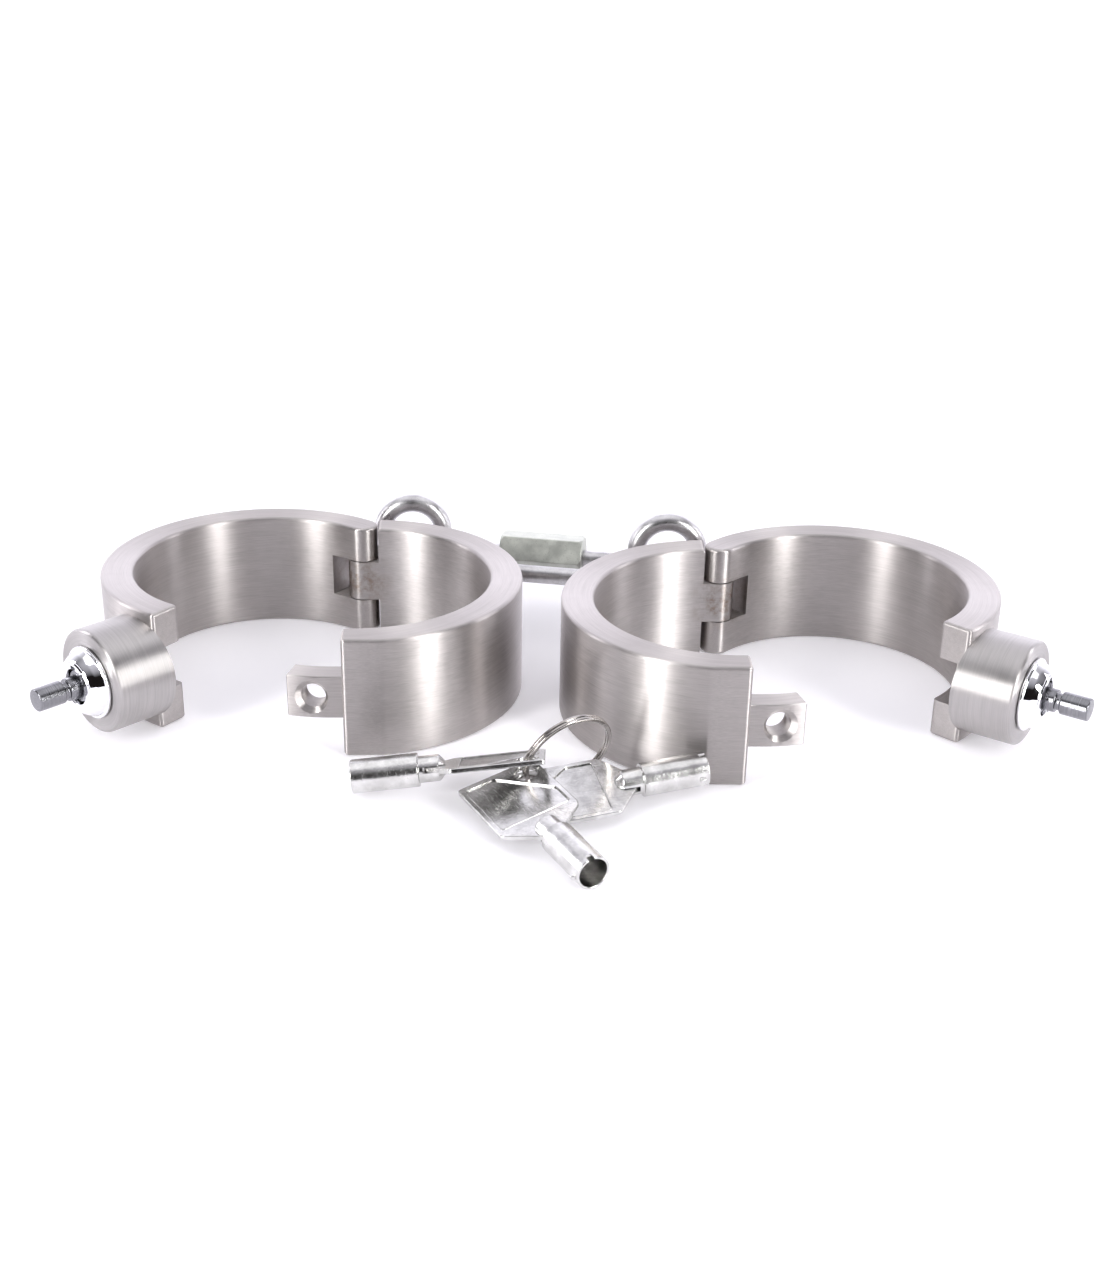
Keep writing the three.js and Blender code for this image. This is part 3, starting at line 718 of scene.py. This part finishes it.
def plunger_spring():
    path = []
    count = SPRING["turns"] * SPRING["steps"]
    for i in range(count + 1):
        angle = 2 * math.pi * i / SPRING["steps"]
        rise = (SPRING["high"] - SPRING["low"]) * i / count
        path.append((SPRING["r"] * math.cos(angle), SPRING["r"] * math.sin(angle), SPRING["low"] + rise))
    return tube(path, circle(SPRING["wire"], 8))


# ---------------------------------------------------------------- quick link
def quick_link():
    """Round bar bent to a long link, open under the sleeve."""
    bend, rod = LINK["half_width"], LINK["rod"]
    straight = LINK["length"] / 2 - bend
    flat = [(LINK["gap_start"] + LINK["gap"], bend)]
    flat += arc(bend, RIGHT_ANGLE, -RIGHT_ANGLE, 28, (straight, 0))
    flat += arc(bend, -RIGHT_ANGLE, -3 * RIGHT_ANGLE, 28, (-straight, 0))
    flat.append((LINK["gap_start"], bend))
    return tube([(x, y, 0) for x, y in flat], circle(rod, 28))


def link_nut():
    """Hexagonal sleeve with turned ends, with a plain bore that slides over the bar."""
    corner = NUT["across_flats"] / math.sqrt(3)
    half = NUT["length"] / 2
    angles = [NUT["turn"] + k * math.pi / 3 for k in range(6)]
    hexagon = [(corner * math.cos(angle), corner * math.sin(angle)) for angle in angles]
    face, chamfer = corner - NUT_END["inward"], half - NUT_END["back"]
    ends = turned([(0, -half), (face, -half), (corner, -chamfer), (corner, chamfer), (face, half), (0, half)])
    body = round_sharp(extruded(hexagon, -half, half), NUT["round"], 3)
    body = boolean(body, "INTERSECT", ends)
    body = cut(body, pillar(LINK["rod"] + NUT["play"], -half - CLEAR, half + CLEAR))
    along_x = Matrix.Rotation(RIGHT_ANGLE, 4, "Y")
    return moved(body, Matrix.Translation((0, LINK["half_width"], 0)) @ along_x)


# ---------------------------------------------------------------- keys and split ring
def key_tube():
    """Turned about +z from the mouth; its own x points down from the bow's upper face."""
    tube_r, bore_r, stub_r, tube_end = KEY["tube_r"], KEY["bore_r"], KEY["stub_r"], KEY["tube"]
    stub_end, bore_end = tube_end + KEY["stub"], tube_end - KEY_BORE_FLOOR
    section = [(0, bore_end), (bore_r, bore_end), (bore_r, 0), (tube_r, 0), (tube_r, tube_end),
               (stub_r, tube_end), (stub_r, stub_end - STUB_END["back"]),
               (stub_r - STUB_END["inward"], stub_end), (0, stub_end)]
    body = turned(rounded(section, KEY_ROUND, open_ends=True), 72)
    half = KEY_NOTCH["half"]
    notch = block((-tube_r - CLEAR, -half, -CLEAR), (CLEAR - bore_r, half, KEY_NOTCH["depth"]))
    half = KEY_NIB["half"]
    nib = block((-half, bore_r + KEY_NIB["sunk"], KEY_NIB["low"]),
                (half, tube_r + KEY_NIB["out"], KEY_NIB["high"]))
    slit_half = KEY["plate"] / 2 + OVERLAP
    slit = block((-slit_half, -5 * CLEAR, tube_end + CLEAR), (slit_half, 5 * CLEAR, stub_end + CLEAR))
    body = joined(cut(body, notch), round_sharp(nib, width=0.25, segments=3))
    return round_sharp(cut(body, slit), width=0.12)


def panel():
    """Outline of the recess in the bow: its own rectangle less the corner that holds the hole."""
    near, far = BOW["start"] + PANEL_EDGE["near"], BOW["end"] - PANEL_EDGE["far"]
    side, width = PANEL_EDGE["side"], BOW["half"]
    return [(near, side - width), (BOW["start"] + PANEL_EDGE["corner"], side - width),
            (far, side), (far, width - side), (near, width - side)]


def key_bow():
    """Flat bow with a neck, a hole in one corner and a recessed panel on both faces."""
    half = KEY["plate"] / 2
    upper = [(BOW["neck"], BOW_NECK["half"]), (BOW["neck"] + BOW_NECK["flare"], BOW_NECK["flare_half"]),
             (BOW["start"], BOW["half"]), (BOW["end"], BOW["half"])]
    outline = upper + [(x, -y) for x, y in reversed(upper)]
    body = round_rims(extruded(rounded(outline, 0.9, 5), -half, half), -half, half, width=0.25, segments=3)
    hole = pillar(BOW["hole_r"], -half - CLEAR, half + CLEAR)
    body = cut(body, moved(hole, Matrix.Translation((*BOW["hole"], 0))))
    for side in (1, -1):
        low, high = sorted((side * (half - BOW["recess"]), side * (half + CLEAR)))
        body = cut(body, extruded(rounded(panel(), 0.5), low, high))
    return round_sharp(body, width=0.1)


def key_border():
    """Raised line pressed into the bow round each recessed panel."""
    half = KEY["plate"] / 2
    borders = bmesh.new()
    for side in (1, -1):
        path = [(x, y, side * (half - BORDER["sunk"])) for x, y in rounded(panel(), 0.8, 5)]
        add_to(borders, tube(path, circle(BORDER["wire"], 10), True))
    return borders


def split_ring():
    """Two turns of flattened wire side by side, with a short crossing."""
    radius, width = RING["r"], RING["turn_width"]
    turns, steps, crossing = RING["turns"], RING["steps"], RING["crossing"]
    path = []
    for i in range(steps + 1):
        t = turns * i / steps
        across = min(max((t - (turns / 2 - crossing)) / (2 * crossing), 0), 1)
        ease = across * across * (3 - 2 * across)
        angle = 2 * math.pi * t + RING["start"]
        path.append((radius * math.cos(angle), radius * math.sin(angle), width * (ease - 0.5)))
    half_t, half_w = RING["thick"] / 2, width / 2 - RING["gap"]
    section = rounded([(-half_t, -half_w), (half_t, -half_w), (half_t, half_w), (-half_t, half_w)], 0.3)
    points, faces = [], []
    for i, point in enumerate(path):
        centre = Vector(point)
        out = Vector((centre.x, centre.y, 0)).normalized()
        points += [tuple(centre + out * a + UP * b) for a, b in section]
    sides = len(section)
    for i in range(len(path) - 1):
        for j in range(sides):
            k = (j + 1) % sides
            faces.append((i * sides + j, i * sides + k, (i + 1) * sides + k, (i + 1) * sides + j))
    faces += [tuple(range(sides)), tuple(range((len(path) - 1) * sides, len(path) * sides))]
    bm = mesh_of(points, faces)
    bmesh.ops.recalc_face_normals(bm, faces=bm.faces)
    return bm


# ---------------------------------------------------------------- assembly
def carry_over(node, material):
    """Keeps a CAD node and gives it its finish."""
    frame["nodes"][node].data.materials[0] = material


anchor_centres = {}
for side in ("left", "right"):
    fixed, swing, lock, mirror = frames_of(side)
    cuff, swinging = f"{side}_cuff", f"{side}_swing"
    piece(f"{side}_band_fixed", fixed_half(), fixed, cuff, steel,
          [f"{side}_fixed_half"], mirror)
    piece(f"{side}_band_swing", swing_half(), swing, swinging, steel,
          [f"{side}_swing_half"], mirror)
    piece(f"{side}_loop", anchor_loop(), fixed, cuff, bar_steel,
          [f"{side}_anchor_loop"], mirror, smooth=math.radians(40))
    piece(f"{side}_loop_welds", anchor_welds(), fixed, cuff, weld, (), mirror)
    piece(f"{side}_housing", lock_housing(), lock, swinging, housing_steel,
          [f"{side}_lock_housing"], mirror)
    piece(f"{side}_bezel", lock_bezel(), lock, swinging, chrome, [f"{side}_lock_bezel"])
    piece(f"{side}_push_plunger", plunger(), lock, f"{side}_plunger", plunger_steel,
          [f"{side}_plunger"])
    carry_over(f"{side}_hinge_pin", bar_steel)
    carry_over(f"{side}_lock_rotor", brass)
    carry_over(f"{side}_back_washer", brass)
    carry_over(f"{side}_retaining_clip", spring_steel)
    coil = piece(f"{side}_coil", plunger_spring(), lock, swinging, spring_steel,
                 [f"{side}_plunger_spring"])
    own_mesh(coil)
    anchor_centres[side] = fixed @ (Vector((mirror * ANCHOR["u"], ANCHOR["v"], LINK["z"])) * MM)

link_run = (anchor_centres["right"] - anchor_centres["left"]).normalized()
link_frame = basis(link_run, UP.cross(link_run), UP, (anchor_centres["left"] + anchor_centres["right"]) / 2)
piece("link_bar", quick_link(), link_frame, "link", bar_steel, ["quick_link"])
piece("link_sleeve", link_nut(), link_frame, "link_nut", nut_steel, ["quick_link_nut"])

ring_low, ring_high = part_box("split_ring")
ring_frame = (Matrix.Translation((ring_low + ring_high) / 2)
              @ UP.rotation_difference(RING_NORMAL).to_matrix().to_4x4())
piece("wire_ring", split_ring(), ring_frame, "split_ring", ring_nickel, ["split_ring"])

for name in ("a", "b", "c"):
    bow_frame = key_frame(name)
    x, y, z = (bow_frame.to_3x3().col[i] for i in range(3))
    tube_frame = basis(-z, y, x, bow_frame.translation)
    body = f"key_{name}"
    piece(f"{body}_barrel", key_tube(), tube_frame, body, nickel, [f"{body}_tube"])
    piece(f"{body}_plate", key_bow(), bow_frame, body, nickel, [f"{body}_bow"])
    piece(f"{body}_border", key_border(), bow_frame, body, nickel)

# ---------------------------------------------------------------- stage, light and camera
FLOOR_HALF = 6.0
FLOOR_DROP = 0.0001  # keeps the floor clear of the lowest rims
FLOOR_GLOW_REACH = (0.25, 0.9)  # metres from the middle
FLOOR_GLOW = (0.22, 1.0)  # painted light: the floor's own glow at those two distances
floor_mesh = bpy.data.meshes.new("studio_floor")
floor_mesh.from_pydata([(-FLOOR_HALF, -FLOOR_HALF, 0), (FLOOR_HALF, -FLOOR_HALF, 0),
                        (FLOOR_HALF, FLOOR_HALF, 0), (-FLOOR_HALF, FLOOR_HALF, 0)], [], [(0, 1, 2, 3)])
floor = bpy.data.objects.new("studio_floor", floor_mesh)
bpy.context.scene.collection.objects.link(floor)
floor.location.z = -FLOOR_DROP
floor_material, floor_graph, floor_shader = new_material("floor_white_painted_glow")
floor_shader.inputs["Metallic"].default_value = 0.0
floor_shader.inputs["Specular IOR Level"].default_value = 0.0
floor_position = floor_graph.node("ShaderNodeTexCoord").outputs["Object"]
floor_graph.tree.links.new(
    floor_graph.mix(floor_graph.noise(floor_position, 3.0), tone(0.85, 0.84, 0.87), tone(0.87, 0.86, 0.885)),
    floor_shader.inputs["Base Color"])
floor_shader.inputs["Roughness"].default_value = 1.0
# Painted light: the floor glows by itself. The glow is weak near the middle so that shadows still show, and full
# far off, where it stands in for a bright backdrop.
floor_shader.inputs["Emission Color"].default_value = tone(0.98, 0.965, 1.0)
from_middle = floor_graph.node("ShaderNodeVectorMath", {0: floor_position}, operation="LENGTH")
floor_graph.tree.links.new(
    floor_graph.mapped(from_middle.outputs["Value"], *FLOOR_GLOW_REACH, *FLOOR_GLOW),
    floor_shader.inputs["Emission Strength"])
floor_mesh.materials.append(floor_material)

world = bpy.data.worlds.new("studio")
bpy.context.scene.world = world
world.use_nodes = True
sky = Graph(world.node_tree)
background = next(n for n in world.node_tree.nodes if n.type == "BACKGROUND")
direction = sky.node("ShaderNodeSeparateXYZ", {0: sky.node("ShaderNodeTexCoord").outputs["Generated"]})
behind = sky.mapped(direction.outputs[1], 0.1, 0.8, 0.0, 1.0)
above = sky.mapped(direction.outputs[2], 0.55, 0.9, 0.0, 1.0)
DARK_FRONT, BRIGHT_BACK, CEILING = tone(0.012, 0.010, 0.010), tone(1.9, 1.87, 2.05), tone(0.62, 0.61, 0.66)
room = sky.mix(behind, DARK_FRONT, BRIGHT_BACK)
sky.tree.links.new(sky.mix(above, room, CEILING), background.inputs["Color"])
background.inputs["Strength"].default_value = 1.0


def soft_light(name, position, target, size, radiance, colour=(1.0, 1.0, 1.0)):
    """A rectangular light, sized by how bright its face should look rather than by its power."""
    light = bpy.data.lights.new(name, "AREA")
    light.shape = "RECTANGLE"
    light.size, light.size_y = size
    light.energy = radiance * math.pi * size[0] * size[1]
    light.color = colour
    obj = bpy.data.objects.new(name, light)
    bpy.context.scene.collection.objects.link(obj)
    obj.location = position
    obj.rotation_euler = (Vector(target) - Vector(position)).to_track_quat("-Z", "Y").to_euler()


def around(azimuth, distance, height):
    """A place round the object; azimuth 0 is in front of it and 90 is to its right."""
    angle = math.radians(azimuth)
    return (distance * math.sin(angle), -distance * math.cos(angle), height)


MIDDLE = (0, 0, BAND_HEIGHT / 2 * MM)
COOL_WHITE = (0.97, 0.96, 1.0)
soft_light("overhead", (0, 0.12, 1.1), MIDDLE, size=(1.5, 1.1), radiance=0.75)
for end, sign in (("right", 1), ("left", -1)):
    soft_light(f"strip_{end}", around(sign * 48, 0.75, 0.22), MIDDLE, size=(0.14, 0.55), radiance=22.0)
for end, sign in (("right", 1), ("left", -1)):
    soft_light(f"side_{end}", around(sign * 100, 0.8, 0.25), MIDDLE, size=(0.12, 0.5), radiance=8.0,
               colour=COOL_WHITE)

CAMERA_AT = Vector((-0.0024, -0.3711, 0.1914))
CAMERA_DOWN = math.radians(24.48)
CAMERA_ROLL = 0.01815
FOCAL_LENGTH, SENSOR_WIDTH = 47.73, 36.0
camera_data = bpy.data.cameras.new("camera")
camera_data.lens = FOCAL_LENGTH
camera_data.sensor_width = SENSOR_WIDTH
camera_data.clip_start, camera_data.clip_end = 0.01, 50.0
camera = bpy.data.objects.new("camera", camera_data)
bpy.context.scene.collection.objects.link(camera)
ahead = Vector((0, math.cos(CAMERA_DOWN), -math.sin(CAMERA_DOWN)))
level_up = Vector((0, math.sin(CAMERA_DOWN), math.cos(CAMERA_DOWN)))
level_right = Vector((1, 0, 0))
camera_right = (level_right + CAMERA_ROLL * level_up).normalized()
camera_up = (level_up - CAMERA_ROLL * level_right).normalized()
camera.matrix_world = basis(camera_right, camera_up, -ahead, CAMERA_AT)
bpy.context.scene.camera = camera
bpy.context.scene.view_settings.view_transform = "Standard"
